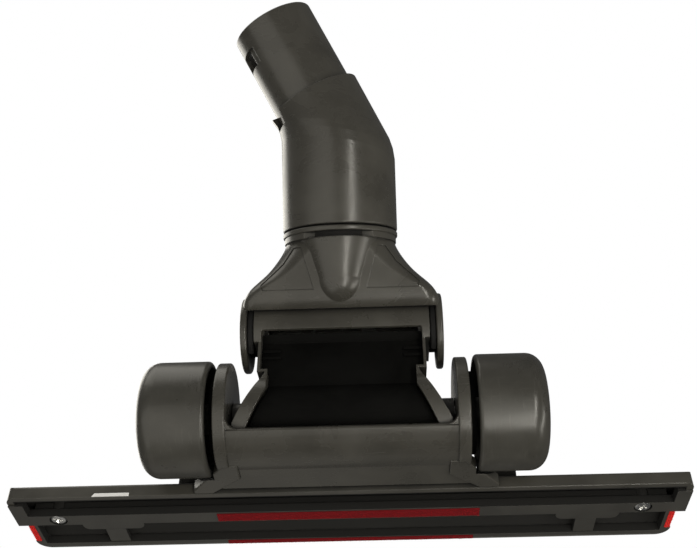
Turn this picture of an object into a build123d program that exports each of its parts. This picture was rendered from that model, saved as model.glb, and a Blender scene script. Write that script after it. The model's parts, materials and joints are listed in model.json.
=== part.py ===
# Wheeled floor nozzle for a vacuum cleaner: slim head, wheel carriage, hinged trunk, yoke, swivelling elbow.
# Millimetres. +X to the right seen from behind, +Y forward, +Z up, floor at Z = 0.
# The origin is on the floor, under the middle of the rear lint strip.
import os
from math import cos, radians, sin

from build123d import *

# Head cover
head_length = 300.0
head_rear = -19.0
head_front = 25.3
rear_wall_low = 1.5
rear_wall_high = 7.2
roof_ridge = (-9.0, 12.2)
roof_front = (14.0, 10.5)
nose_z = 5.2
roof_rounding = 5.0
edge_rounding = 1.2
cover_wall = 3.2
rear_corner_radius = 4.0
front_corner_radius = 6.5
front_end_step = 3.9
shoulder_length = 150.0
shoulder_rear = -15.0
shoulder_crest = (-6.0, 14.5)
tunnel_width = 94.0
tunnel_crest = (-8.0, 21.0)
hump_front = (19.0, 9.4)
hump_rounding = 2.0
passage_width = 80.0
passage_low = 8.2
passage_high = 18.2

# Sole
sole_z = 0.8
sole_thickness = 3.8
sole_rear = -13.5
land_width = 8.2
land_rib_width = 7.0
land_rib_z = 8.0
channel_front = 21.2
rear_channel_margin = 6.5
front_channel_margin = 8.5
bridge_from_end = 43.2
bridge_width = 9.2
bridge_lift = 0.4
bridge_thickness = 2.0
gusset_length = 28.0
gusset_depth = 4.6
gusset_rounding = 3.6
gusset_thickness = 1.8

# Soft strips under the sole
rear_strip = (117.0, 7.0)
front_strip = (113.4, 3.4)
end_strip_thickness = 3.0
end_strip_front = 18.5
strip_rounding = 0.5

# Sole screws
screw_from_end = 19.3
screw_head_radius = 3.7
screw_head_height = 1.7
screw_head_rounding = 0.85
screw_sunk = 0.2
screw_shank_radius = 1.6
screw_length = 7.0
screw_recess_radius = 4.0
screw_drive = (5.0, 1.1, 1.0)
screw_boss_radius = 4.0
screw_boss_play = 0.3

# Wheels, stub axles and washers
axle_y = -42.0
wheel_radius = 25.0
wheel_gap = 3.3
wheel_outer = 87.0
wheel_wall = 2.6
wheel_shoulder = 7.5
wheel_rim_rounding = 1.6
wheel_crown = 1.4
wheel_rib_count = 6
wheel_rib_width = 1.8
wheel_rib_setback = 7.0
hub_radius = 6.5
hub_end_wall = 5.0
axle_radius = 3.0
axle_grip = 5.0
axle_end_play = 0.5
axle_chamfer = 0.6
running_clearance = 0.05
washer_radius = 17.8
washer_play = 0.15
washer_thickness = 2.4

# Wheel carriage
ear_radius = 24.0
ear_inner = 48.0
ear_thickness = 5.3
ear_rounding = 0.7
trough_radius = 23.0
barrel_clearance = 0.6
trough_rear_angle = -135.0
trough_front_angle = 34.0
trough_lip_rounding = 1.0
lip_gusset = 5.0
pan_heel = (-50.5, 2.6)
pan_heel_rounding = 14.0
pan_front = -21.0
pan_front_rounding = 0.8
carriage_neck_low = 6.2
carriage_neck_high = 20.6
carriage_neck_rear = -30.0
arm_low = 1.7
arm_high = 6.8
arm_overlap = 3.5
arm_inner = (-41.0, -30.5)
arm_corner = (3.0, -41.0)
arm_outer = (18.0, -21.5)
arm_foot = 10.0
arm_rounding = 0.6
arm_wheel_clearance = 1.0
arm_cover = 1.2
seal_width = 2.0
seal_depth = 1.0
seal_proud = 0.3
seal_end_gap = 4.0
trough_seal_angles = (-124.0, 24.0)

# Trunk, the duct between the wheel axle and the yoke
trunk_lean = 12.0
trunk_length = 39.6
trunk_wall = 1.7
lower_barrel_radius = 19.5
upper_barrel_radius = 15.5
web_low = 17.0
web_high = 11.0
trunk_base_gap = 2.2
trunk_waist_half = 33.1
trunk_tab_half = 36.4
trunk_top_half = 38.5
trunk_end_wall = 4.0
trunk_boss_radius = 6.5
trunk_side_gap = 0.5
flare_bottom = -8.9
flare_top = 14.6
waist_top = 15.5
tab_top = 30.6
panel_top = 35.4
panel_bottom = -11.0
panel_base_margin = 5.5
panel_flare_top = 6.5
panel_rim = 1.2
panel_depth = 5.0
panel_thickness = 1.6
panel_fit = 0.1
hook_size = (8.0, 1.4, 1.2)
hook_x = 30.8
hook_heights = (23.4, 26.8)
lower_mouth_angles = (-140.0, -8.0)
upper_mouth_angles = (45.0, 135.0)

# Yoke
neck_lean = 34.4
collar_rise = 43.3
yoke_wall = 2.0
hood_front_z = 12.0
cheek_radius = 17.0
cheek_inner = 41.5
cheek_thickness = 3.0
cheek_rounding = 1.0
yoke_collar_radius = 25.3
yoke_collar_low = 40.6
yoke_sections = (
    (40.6, 24.6, 18.8, 17.8),
    (35.5, 26.8, 18.7, 16.5),
    (30.0, 30.4, 18.4, 14.0),
    (25.0, 34.8, 18.2, 11.5),
    (20.0, 39.8, 18.0, 8.0),
    (15.5, 42.6, 17.4, 6.0),
    (10.4, 43.5, 14.9, 5.0),
)
bulge_top = (41.5, 4.5, 20.5)
bulge_low = (23.2, 9.5, 12.5)
wing_recess = 0.4
wing_corners = ((17.0, 37.5), (20.5, 37.5), (25.0, 30.5), (35.0, 21.0), (34.0, 18.5), (11.5, 18.5))
slot_half_width = 21.0
slot_height = 2.6
slot_depth = 5.0
hood_seal_angles = (54.0, 133.0)
pin_radius = 3.5
pin_inner = 34.0
pin_washer_radius = 9.5
pin_washer_play = 0.15

# Swivel sleeve, its seal and clip
ring_radius = 26.0
ring_height = 2.2
ring_rounding = 0.6
sleeve_radius = 22.6
sleeve_bore = 20.8
sleeve_top = 19.0
sleeve_flange_radius = 23.7
sleeve_flange_height = 2.0
swivel_seal_low = 6.0
swivel_seal_height = 3.0
swivel_seal_clearance = 0.2
clip_height = 1.6
clip_play = 0.25
clip_outer = 25.0
clip_bore = 22.9

# Elbow and connector tube
cuff_gap = 0.8
cuff_radius = 26.0
cuff_bore = 24.4
cuff_rounding = 0.8
bend_low = (45.7, 36.2)
bend_sections = (
    ((-26.7, 49.9), (25.3, 41.2), 25.8),
    ((-27.9, 52.9), (23.9, 45.7), 25.3),
)
bore_section = ((-24.6, 47.9), (21.2, 47.2), 23.7)
elbow_angle = 27.0
elbow_centre = 45.2
elbow_end = 23.2
elbow_end_radius = 22.0
socket_depth = 10.0
connector_radius = 19.3
connector_wall = 2.0
connector_exposed = 41.2
connector_rounding = 0.7
latch_from_mouth = 9.0
latch_length = 8.0
latch_width = 14.0
latch_depth = 1.2
latch_window = 9.5
latch_turn = 22.0
notch_length = 7.0
notch_width = 11.0
notch_turn = 24.0

# Shared
wedge_steps = 6
cut_margin = 1.0

half_length = head_length / 2
front_end = half_length - front_end_step
sole_top = sole_z + sole_thickness
half_land = land_width / 2
rear_channel_end = half_length - rear_channel_margin
front_channel_end = half_length - front_channel_margin
bridge_x = half_length - bridge_from_end
screw_x = half_length - screw_from_end
half_passage = passage_width / 2
ear_outer = ear_inner + ear_thickness
wheel_inner = ear_outer + wheel_gap
hub_bore_end = wheel_outer - hub_end_wall
axle_inner = ear_inner - axle_grip
trunk_base_half = ear_inner - trunk_base_gap
panel_base_half = trunk_base_half - panel_base_margin
trough_bore = lower_barrel_radius + barrel_clearance
hood_bore = upper_barrel_radius + barrel_clearance
cheek_outer = cheek_inner + cheek_thickness
trunk_end_half = ear_inner - trunk_side_gap
trough_seal_length = 2 * (ear_inner - seal_end_gap)
hood_seal_length = 2 * (cheek_inner - seal_end_gap)
trunk_direction = Vector(0, -sin(radians(trunk_lean)), cos(radians(trunk_lean)))
neck_direction = Vector(0, -sin(radians(neck_lean)), cos(radians(neck_lean)))
axle_point = Vector(0, axle_y, wheel_radius)
hinge_point = axle_point + trunk_direction * trunk_length
axle_frame = Location(axle_point)
trunk_frame = Plane(axle_point, x_dir=(1, 0, 0), z_dir=trunk_direction).location
yoke_frame = Plane(hinge_point, x_dir=(1, 0, 0), z_dir=neck_direction).location
neck_frame = yoke_frame * Pos(0, 0, collar_rise)
tube_frame = Pos(0, 0, elbow_centre) * Rot(0, -elbow_angle, 0)
mouth = elbow_end + connector_exposed
far = head_length
sides = {"left": -1, "right": 1}


def rounded_polygon(points):
    # A face from (u, v, corner radius) points.
    face = make_face(Polyline(*[(u, v) for u, v, _ in points], close=True))
    for u, v, radius in points:
        if radius:
            face = fillet(face.vertices().sort_by_distance((u, v, 0))[:1], radius)
    return face


def mirrored_polygon(right):
    return rounded_polygon([*right, *[(-u, v, radius) for u, v, radius in reversed(right)]])


def side_prism(points, half_width):
    return extrude(Plane.YZ * rounded_polygon(points), half_width, both=True)


def block(x_range, y_range, z_range):
    ranges = (x_range, y_range, z_range)
    size = [high - low for low, high in ranges]
    return Pos(*[(low + high) / 2 for low, high in ranges]) * Box(*size)


def x_cylinder(radius, x_from, x_to):
    return Pos((x_from + x_to) / 2, 0, 0) * Rot(0, 90, 0) * Cylinder(radius, x_to - x_from)


def ring(outer, inner, low, high):
    return Pos(0, 0, low) * extrude(Circle(outer) - Circle(inner), high - low)


def on_side(piece, side):
    return piece if side > 0 else mirror(piece, about=Plane.YZ)


def both_sides(piece):
    return piece + mirror(piece, about=Plane.YZ)


def sector(start_angle, end_angle, radius, half_width):
    # A slice about the X axis, with angles from +Y towards +Z.
    step = (end_angle - start_angle) / wedge_steps
    angles = [radians(start_angle + step * i) for i in range(wedge_steps + 1)]
    rim = [(radius * cos(angle), radius * sin(angle), 0) for angle in angles]
    return side_prism([(0, 0, 0), *rim], half_width)


def head_plan(inset):
    # Outline from above: long rear part, shorter front part with rounded corners.
    rear, front = head_rear + inset, head_front - inset
    return mirrored_polygon([
        (half_length - inset, rear, rear_corner_radius - inset),
        (half_length - inset, half_land - inset, 0),
        (front_end - inset, half_land - inset, 0),
        (front_end - inset, front, front_corner_radius - inset),
    ])


def head_body(inset, low):
    # Rear wall, rising roof, falling roof and nose, cut to the outline.
    rear, front = head_rear + inset, head_front - inset
    side = side_prism([
        (rear, low, 0),
        (rear, rear_wall_high - inset, edge_rounding),
        (roof_ridge[0], roof_ridge[1] - inset, roof_rounding),
        (roof_front[0], roof_front[1] - inset, roof_rounding),
        (front, nose_z, edge_rounding),
        (front, low, 0),
    ], half_length)
    return side & Pos(0, 0, low) * extrude(head_plan(inset), far)


def hump(rear, crest, half_width, inset):
    # A raised part of the roof with a level top that ramps down to the front.
    front_y, front_z = hump_front
    prism = side_prism([
        (rear + inset, sole_top, 0),
        (rear + inset, crest[1] - inset, edge_rounding),
        (crest[0], crest[1] - inset, roof_rounding),
        (front_y - inset, front_z - inset, 0),
        (front_y - inset, sole_top, 0),
    ], half_width - inset)
    end_edges = prism.faces().filter_by(Axis.X).edges()
    return fillet(end_edges.filter_by(lambda edge: edge.center().Z > front_z), hump_rounding)


def make_head_cover():
    def whole(inset, low):
        shoulders = hump(shoulder_rear, shoulder_crest, shoulder_length / 2, inset)
        tunnel = hump(head_rear, tunnel_crest, tunnel_width / 2, inset)
        return head_body(inset, low) + shoulders + tunnel

    cover = whole(0, rear_wall_low) - whole(cover_wall, 0)
    cover -= Pos(0, 0, -cut_margin) * extrude(head_plan(cover_wall), sole_top + cut_margin)
    # The sole closes the ends and the front from below.
    cover -= block((-far, far), (sole_rear, far), (0, sole_top))
    cover -= block((-half_passage, half_passage), (head_rear - cut_margin, sole_rear), (passage_low, passage_high))
    boss = Pos(screw_x, 0, sole_top) * extrude(Circle(screw_boss_radius), roof_ridge[1])
    boss &= head_body(cover_wall / 2, 0)
    hole = Pos(screw_x, 0, 0) * extrude(Circle(screw_shank_radius), sole_z + screw_sunk + screw_length)
    return cover + both_sides(boss) - both_sides(hole)


def make_sole_plate():
    # An open frame: middle land with its rib, end frames, front lip and a bridge at each side of the front channel.
    plate = Pos(0, 0, sole_z) * extrude(head_plan(0), sole_thickness)
    low, high = 0, sole_top + cut_margin
    plate &= block((-far, far), (sole_rear, far), (low, high))
    plate -= block((-rear_channel_end, rear_channel_end), (head_rear, -half_land), (low, high))
    front_channel = block((-front_channel_end, front_channel_end), (half_land, channel_front), (low, high))
    plate -= front_channel
    rib_half = land_rib_width / 2
    plate += block((-front_channel_end, front_channel_end), (-rib_half, rib_half), (sole_top, land_rib_z))
    bridge_half = bridge_width / 2
    bridge_low = sole_z + bridge_lift
    bridge = block((bridge_x - bridge_half, bridge_x + bridge_half), (half_land, channel_front),
                   (bridge_low, bridge_low + bridge_thickness))
    outline = RectangleRounded(gusset_length, 2 * gusset_depth, gusset_rounding)
    gusset = Pos(bridge_x, half_land, sole_z) * extrude(outline, gusset_thickness)
    plate += both_sides(bridge + (gusset & front_channel))
    screw_spot = Pos(screw_x, 0, 0)
    recess = screw_spot * extrude(Circle(screw_recess_radius), sole_z + screw_sunk + screw_head_height)
    recess += screw_spot * extrude(Circle(screw_shank_radius), land_rib_z)
    recess += Pos(0, 0, sole_top) * screw_spot * extrude(Circle(screw_boss_radius + screw_boss_play), land_rib_z)
    strip_seat = block((front_end - end_strip_thickness, far), (half_land, end_strip_front), (low, high))
    return plate - both_sides(recess + strip_seat)


def make_lint_strip(size, y_centre):
    strip = Pos(0, y_centre, 0) * extrude(Rectangle(*size), sole_z)
    return fillet(strip.edges().group_by(Axis.Z)[0], strip_rounding)


def make_end_strip(side):
    strip = block((front_end - end_strip_thickness, front_end), (half_land, end_strip_front), (0, sole_top))
    return on_side(fillet(strip.edges().group_by(Axis.Z)[0], strip_rounding), side)


def make_sole_screws():
    low = sole_z + screw_sunk
    head = extrude(Circle(screw_head_radius), screw_head_height)
    head = fillet(head.edges().group_by(Axis.Z)[0], screw_head_rounding)
    length, width, depth = screw_drive
    head -= extrude(Rectangle(length, width) + Rectangle(width, length), depth)
    shank = Pos(0, 0, screw_head_height) * extrude(Circle(screw_shank_radius), screw_length - screw_head_height)
    screw = Pos(screw_x, 0, low) * (head + shank)
    return Compound(children=[screw, mirror(screw, about=Plane.YZ)])


def seal_strip(angle, bore, length, proud):
    # A straight strip let into a cylindrical bore about the X axis.
    half = length / 2
    strip = block((-half, half), (bore - proud, bore + seal_depth), (-seal_width / 2, seal_width / 2))
    return Rot(angle, 0, 0) * strip


def arm_blank(low):
    # Outrigger plate at the lower corner of the carriage, set out from the ear, before it is relieved.
    inner_rear, inner_front = arm_inner
    plan = make_face(Polyline(
        (-arm_overlap, inner_rear), arm_corner, arm_outer, (arm_outer[0], head_rear), (arm_foot, head_rear),
        (-arm_overlap, inner_front), close=True,
    ))
    return Pos(ear_inner, 0, low) * extrude(plan, arm_high - low)


def arm_relief():
    # Room for the wheel outside, and the trough wall inside.
    wheel_room = x_cylinder(wheel_radius + arm_wheel_clearance, wheel_inner - arm_wheel_clearance, far)
    return axle_frame * (wheel_room + x_cylinder(trough_bore + arm_cover, 0, ear_inner))


def make_arm(side):
    arm = arm_blank(arm_low)
    arm = fillet(arm.edges().group_by(Axis.Z)[0], arm_rounding)
    return on_side(arm - arm_relief(), side)


def make_carriage():
    # Two round ears joined under the trunk by a trough, with a neck that leads the air into the head.
    ear = x_cylinder(ear_radius, ear_inner, ear_outer)
    ear = fillet(ear.edges().filter_by(GeomType.CIRCLE), ear_rounding)
    trough = x_cylinder(trough_radius, -ear_inner, ear_inner) - x_cylinder(trough_bore, -ear_inner, ear_inner)
    trough &= sector(trough_rear_angle, trough_front_angle, 2 * trough_radius, ear_inner)
    trough = fillet(trough.edges().filter_by(Axis.X), trough_lip_rounding)
    # A concave corner between each ear and the rear lip.
    corner = block((ear_inner - lip_gusset, ear_inner), (trough_bore, trough_radius), (-lip_gusset, 0))
    corner -= Pos(ear_inner - lip_gusset, trough_radius, -lip_gusset) * Rot(90, 0, 0) * Cylinder(lip_gusset, far)
    trough += Rot(trough_rear_angle, 0, 0) * both_sides(corner)
    lip_angle = radians(trough_rear_angle)
    pan = side_prism([
        (axle_y + trough_radius * cos(lip_angle), wheel_radius + trough_radius * sin(lip_angle), trough_lip_rounding),
        (*pan_heel, pan_heel_rounding),
        (pan_front, pan_heel[1], pan_front_rounding),
        (pan_front, carriage_neck_high, 0),
        (axle_y, wheel_radius, 0),
    ], ear_outer)
    neck_half = tunnel_width / 2
    neck = block((-neck_half, neck_half), (carriage_neck_rear, head_rear), (carriage_neck_low, carriage_neck_high))
    body = pan + neck - axle_frame * x_cylinder(trough_bore, -ear_inner, ear_inner)
    body += axle_frame * (both_sides(ear) + trough)
    for angle in trough_seal_angles:
        body -= axle_frame * seal_strip(angle, trough_bore, trough_seal_length, seal_proud)
    body -= block((-half_passage, half_passage), (axle_y, head_rear), (passage_low, passage_high))
    body -= axle_frame * both_sides(x_cylinder(axle_radius, ear_inner, ear_outer))
    return body - both_sides(arm_blank(0) - arm_relief())


def make_trough_seals():
    strips = [seal_strip(angle, trough_bore, trough_seal_length, seal_proud) for angle in trough_seal_angles]
    return axle_frame * Compound(children=strips)


def make_stub_axle(side):
    axle = x_cylinder(axle_radius, axle_inner, hub_bore_end - axle_end_play)
    axle = chamfer(axle.edges().filter_by(GeomType.CIRCLE), axle_chamfer)
    return axle_frame * on_side(axle, side)


def make_wheel(side):
    # Moulded barrel, closed and domed outside, open inside with a ribbed hub.
    inner_radius = wheel_radius - wheel_wall
    cavity_end = wheel_outer - wheel_wall
    shell = revolve(rounded_polygon([
        (wheel_inner, inner_radius, 0),
        (wheel_inner, wheel_radius, wheel_rim_rounding),
        (wheel_outer - wheel_crown, wheel_radius, wheel_shoulder),
        (wheel_outer, 0, 0),
        (cavity_end, 0, 0),
        (cavity_end - wheel_crown, inner_radius, wheel_shoulder - wheel_wall),
    ]), Axis.X)
    hub = x_cylinder(hub_radius, ear_outer + washer_thickness + washer_play, cavity_end)
    rib_box = block((wheel_inner + wheel_rib_setback, cavity_end), (-wheel_rib_width / 2, wheel_rib_width / 2),
                    (0, wheel_radius))
    ribs = [Rot(360.0 * i / wheel_rib_count, 0, 0) * rib_box for i in range(wheel_rib_count)]
    cavity = revolve(rounded_polygon([
        (wheel_inner, 0, 0),
        (wheel_inner, wheel_radius - wheel_wall / 2, 0),
        (cavity_end - wheel_crown, wheel_radius - wheel_wall / 2, wheel_shoulder),
        (cavity_end + wheel_wall / 2, 0, 0),
    ]), Axis.X)
    wheel = shell + hub + (Part() + ribs & cavity)
    wheel -= x_cylinder(axle_radius + running_clearance, 0, hub_bore_end)
    return axle_frame * on_side(wheel, side)


def make_wheel_washer(side):
    washer = x_cylinder(washer_radius, ear_outer, ear_outer + washer_thickness) - x_cylinder(axle_radius, 0, far)
    return axle_frame * on_side(washer, side)


def trunk_side(inset):
    # Side outline: lower barrel, upper barrel and the web between them.
    low, high = web_low - inset, web_high - inset
    web = side_prism([(low, 0, 0), (high, trunk_length, 0), (-high, trunk_length, 0), (-low, 0, 0)], trunk_base_half)
    lower = x_cylinder(lower_barrel_radius - inset, -trunk_base_half, trunk_base_half)
    upper = x_cylinder(upper_barrel_radius - inset, -trunk_base_half, trunk_base_half)
    return web + lower + Pos(0, 0, trunk_length) * upper


def trunk_front(inset):
    # Outline across the trunk: base, flare, waist, snap tabs, upper barrel.
    top = trunk_length + upper_barrel_radius
    face = mirrored_polygon([
        (trunk_base_half - inset, -lower_barrel_radius, 0),
        (trunk_base_half - inset, flare_bottom, 0),
        (trunk_waist_half - inset, flare_top, 0),
        (trunk_waist_half - inset, waist_top, 0),
        (trunk_tab_half - inset, waist_top, 0),
        (trunk_tab_half - inset, tab_top, 0),
        (trunk_top_half - inset, tab_top, 0),
        (trunk_top_half - inset, top, 0),
    ])
    return extrude(Plane.XZ * face, 2 * lower_barrel_radius, both=True)


def panel_opening(inset):
    # The recess in the rear face, from the trunk's middle backwards.
    waist, tab = trunk_waist_half - panel_rim - inset, trunk_tab_half - panel_rim - inset
    face = mirrored_polygon([
        (panel_base_half - inset, panel_bottom + inset, 0),
        (waist, panel_flare_top, 0),
        (waist, waist_top + panel_rim, 0),
        (tab, waist_top + panel_rim, 0),
        (tab, panel_top - inset, edge_rounding),
    ])
    return extrude(Plane.XZ * face, 2 * lower_barrel_radius)


def make_trunk_shell():
    shell = trunk_side(0) & trunk_front(0)
    shell += both_sides(x_cylinder(trunk_boss_radius, axle_inner - trunk_end_wall, trunk_end_half))
    shell -= trunk_side(trunk_wall) & trunk_front(trunk_end_wall)
    shell -= panel_opening(0)
    shell -= sector(*lower_mouth_angles, 2 * lower_barrel_radius, half_passage)
    shell -= Pos(0, 0, trunk_length) * sector(*upper_mouth_angles, 2 * upper_barrel_radius, pin_inner - trunk_end_wall)
    shell -= both_sides(x_cylinder(axle_radius + running_clearance, 0, far))
    shell -= Pos(0, 0, trunk_length) * both_sides(x_cylinder(pin_radius + running_clearance, 0, far))
    return trunk_frame * shell


def make_trunk_panel():
    # Black cover plate at the bottom of the recess, with its snap hooks.
    back = trunk_side(panel_depth + panel_thickness)
    length, height, proud = hook_size
    hooks = Part() + [
        block((hook_x - length / 2, hook_x + length / 2), (-far, 0), (low, low + height)) for low in hook_heights
    ]
    raised = trunk_side(panel_depth - proud) & both_sides(hooks)
    return trunk_frame * ((trunk_side(panel_depth) + raised - back) & panel_opening(panel_fit))


def loft_sections(inset):
    faces = []
    for height, half_width, half_depth, radius in yoke_sections:
        outline = RectangleRounded(2 * (half_width - inset), 2 * (half_depth - inset), radius - inset)
        faces.append(Pos(0, 0, height) * outline)
    return loft(faces)


def bulge(inset):
    # Half-round duct on the rear of the yoke, tapering down to a rounded end.
    (top_z, top_y, top_radius), (low_z, low_y, low_radius) = bulge_top, bulge_low
    cone = loft([
        Pos(0, -top_y, top_z) * Circle(top_radius - inset),
        Pos(0, -low_y, low_z) * Circle(low_radius - inset),
    ])
    return cone + Pos(0, -low_y, low_z) * Sphere(low_radius - inset)


def make_yoke():
    cheek = x_cylinder(cheek_radius, cheek_inner, cheek_outer)
    cheek = fillet(cheek.edges().filter_by(GeomType.CIRCLE), cheek_rounding)
    yoke = loft_sections(0)
    wing = make_face(Polyline(*wing_corners, close=True))
    wings = both_sides(extrude(Plane.XZ * wing, far))
    yoke -= wings - loft_sections(wing_recess)
    yoke += bulge(0)
    yoke += Pos(0, 0, yoke_collar_low) * extrude(Circle(yoke_collar_radius), collar_rise - yoke_collar_low)
    yoke += both_sides(cheek)
    yoke -= loft_sections(yoke_wall)
    yoke -= bulge(yoke_wall)
    yoke -= Pos(0, 0, yoke_collar_low) * extrude(Circle(sleeve_radius), collar_rise)
    yoke -= block((-slot_half_width, slot_half_width), (-far, slot_depth - yoke_collar_radius),
                  (collar_rise - slot_height, collar_rise))
    yoke -= x_cylinder(hood_bore, -cheek_inner, cheek_inner)
    yoke -= block((-cheek_inner, cheek_inner), (0, far), (-far, hood_front_z))
    for angle in hood_seal_angles:
        yoke -= seal_strip(angle, hood_bore, hood_seal_length, seal_proud)
    return yoke - both_sides(x_cylinder(pin_radius, 0, far))


def make_hood_seals():
    strips = [seal_strip(angle, hood_bore, hood_seal_length, seal_proud) for angle in hood_seal_angles]
    return yoke_frame * Compound(children=strips)


def make_yoke_pin(side):
    pin = x_cylinder(pin_radius, pin_inner, cheek_outer)
    pin = chamfer(pin.edges().filter_by(GeomType.CIRCLE), axle_chamfer)
    return yoke_frame * on_side(pin, side)


def make_yoke_washer(side):
    washer = x_cylinder(pin_washer_radius, trunk_top_half + pin_washer_play, cheek_inner)
    return yoke_frame * on_side(washer - x_cylinder(pin_radius, 0, far), side)


def make_swivel_sleeve():
    collar = ring(ring_radius, sleeve_bore, 0, ring_height)
    collar = fillet(collar.edges().sort_by(SortBy.LENGTH)[-2:], ring_rounding)
    sleeve = ring(sleeve_radius, sleeve_bore, yoke_collar_low - collar_rise, sleeve_top)
    flange = ring(sleeve_flange_radius, sleeve_bore, sleeve_top - sleeve_flange_height, sleeve_top)
    return neck_frame * (collar + sleeve + flange)


def make_swivel_seal():
    outer = cuff_bore - swivel_seal_clearance
    return neck_frame * ring(outer, sleeve_radius, swivel_seal_low, swivel_seal_low + swivel_seal_height)


def make_swivel_clip():
    high = sleeve_top - sleeve_flange_height - clip_play
    return neck_frame * ring(clip_outer, clip_bore, high - clip_height, high)


def bend_section(left, right, half_depth):
    # An ellipse across the neck, from its left edge to its right edge.
    middle = Vector((left[0] + right[0]) / 2, 0, (left[1] + right[1]) / 2)
    across = Vector(right[0] - left[0], 0, right[1] - left[1])
    plane = Plane(middle, x_dir=across, z_dir=(-across.Z, 0, across.X))
    return plane * Ellipse(across.length / 2, half_depth)


def bent_tube(radius, low, sections):
    # A round tube up to the bend, then straight-sided from section to section.
    bend_left, bend_right = bend_low
    bend = bend_section((-radius, bend_left), (radius, bend_right), radius)
    straight = Pos(0, 0, low) * extrude(Circle(radius), far)
    return split(straight, bisect_by=Plane(bend.face()), keep=Keep.BOTTOM), loft([bend, *sections], ruled=True)


def make_elbow():
    # Round cuff over the sleeve, bending sharply to the socket of the connector tube.
    low = ring_height + cuff_gap
    socket_floor = elbow_end - socket_depth
    cuff, bend = bent_tube(cuff_radius, low, [
        *[bend_section(*section) for section in bend_sections],
        tube_frame * Pos(0, 0, elbow_end) * Circle(elbow_end_radius),
    ])
    cuff = fillet(cuff.edges().group_by(Axis.Z)[0], cuff_rounding)
    bore, bore_bend = bent_tube(cuff_bore, low, [
        bend_section(*bore_section),
        tube_frame * Pos(0, 0, socket_floor) * Circle(connector_radius - connector_wall),
    ])
    elbow = cuff + bend - bore - bore_bend
    clip_high = sleeve_top - sleeve_flange_height - clip_play
    elbow -= ring(clip_outer, clip_bore, clip_high - clip_height, clip_high)
    elbow -= tube_frame * Pos(0, 0, socket_floor) * extrude(Circle(connector_radius), far)
    notch = block((-far, 0), (-notch_width / 2, notch_width / 2), (elbow_end - notch_length, far))
    return neck_frame * (elbow - tube_frame * Rot(0, 0, notch_turn) * notch)


def make_connector():
    low = elbow_end - socket_depth
    tube = ring(connector_radius, connector_radius - connector_wall, low, mouth)
    tube = fillet(tube.edges().group_by(Axis.Z)[-1], connector_rounding)
    # The latch pocket, with a window through the wall at its far side.
    latch_high = mouth - latch_from_mouth
    half_latch = latch_width / 2
    heights = (latch_high - latch_length, latch_high)
    pocket = block((-far, 0), (-half_latch, half_latch), heights)
    pocket -= Pos(0, 0, heights[0]) * extrude(Circle(connector_radius - latch_depth), latch_length)
    pocket += block((-far, 0), (half_latch - latch_window, half_latch), heights)
    return neck_frame * tube_frame * (tube - Rot(0, 0, latch_turn) * pocket)


def make_parts():
    whole_yoke = make_yoke()
    front_half = block((-far, far), (0, far), (-far, far))
    front_strip_y = (channel_front + head_front) / 2
    parts = {
        "head_cover": make_head_cover(),
        "sole_plate": make_sole_plate(),
        "lint_strip_rear": make_lint_strip(rear_strip, 0),
        "lint_strip_front": make_lint_strip(front_strip, front_strip_y),
        "sole_screws": make_sole_screws(),
        "carriage": make_carriage(),
        "trough_seals": make_trough_seals(),
        "trunk_shell": make_trunk_shell(),
        "trunk_panel": make_trunk_panel(),
        "yoke_rear": yoke_frame * (whole_yoke - front_half),
        "yoke_front": yoke_frame * (whole_yoke & front_half),
        "hood_seals": make_hood_seals(),
        "swivel_sleeve": make_swivel_sleeve(),
        "swivel_seal": make_swivel_seal(),
        "swivel_clip": make_swivel_clip(),
        "elbow": make_elbow(),
        "connector": make_connector(),
    }
    for name, side in sides.items():
        parts["end_strip_" + name] = make_end_strip(side)
        parts["carriage_arm_" + name] = make_arm(side)
        parts["stub_axle_" + name] = make_stub_axle(side)
        parts["wheel_" + name] = make_wheel(side)
        parts["wheel_washer_" + name] = make_wheel_washer(side)
        parts["yoke_pin_" + name] = make_yoke_pin(side)
        parts["yoke_washer_" + name] = make_yoke_washer(side)
    return parts


os.makedirs("parts", exist_ok=True)
for part_name, piece in make_parts().items():
    export_step(piece, "parts/" + part_name + ".step")
    print(part_name, "solids", len(piece.solids()), "volume", round(piece.volume))
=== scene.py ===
import json
from math import cos, pi, radians, sin

import bmesh
import bpy
from mathutils import Matrix, Vector


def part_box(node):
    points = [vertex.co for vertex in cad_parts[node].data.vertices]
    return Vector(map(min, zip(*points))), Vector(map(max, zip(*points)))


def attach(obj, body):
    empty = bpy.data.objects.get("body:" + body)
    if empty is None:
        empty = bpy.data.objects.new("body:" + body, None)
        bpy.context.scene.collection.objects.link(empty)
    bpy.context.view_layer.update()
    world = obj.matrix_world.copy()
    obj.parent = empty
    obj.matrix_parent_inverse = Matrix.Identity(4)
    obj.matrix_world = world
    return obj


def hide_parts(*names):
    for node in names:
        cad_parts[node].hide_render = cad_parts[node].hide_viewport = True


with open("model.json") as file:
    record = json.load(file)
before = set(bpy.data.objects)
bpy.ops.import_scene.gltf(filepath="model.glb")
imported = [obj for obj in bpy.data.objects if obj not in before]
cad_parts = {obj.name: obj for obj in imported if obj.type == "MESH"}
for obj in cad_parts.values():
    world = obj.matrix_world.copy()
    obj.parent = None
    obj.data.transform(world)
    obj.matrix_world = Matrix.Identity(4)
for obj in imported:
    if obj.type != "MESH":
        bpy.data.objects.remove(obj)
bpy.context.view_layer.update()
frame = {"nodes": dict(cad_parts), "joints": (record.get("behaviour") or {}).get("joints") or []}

scene = bpy.context.scene
scene.view_settings.view_transform = "Standard"
cadNodes = frame["nodes"]
mm = 0.001
print("frame loaded:", len(cadNodes), "nodes")


def jointNamed(name):
    return next(joint for joint in frame["joints"] if joint["name"] == name)



# camera, below and behind the nozzle
cameraSetup = {
    "place": (0.0190, -0.4078, -0.2213),  # metres, same frame as the solids
    "turnLeft": 2.634,
    "lookUp": 41.90,
    "lens": 52.27,
    "sensor": 36.0,
    "nearest": 0.01,
}


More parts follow.
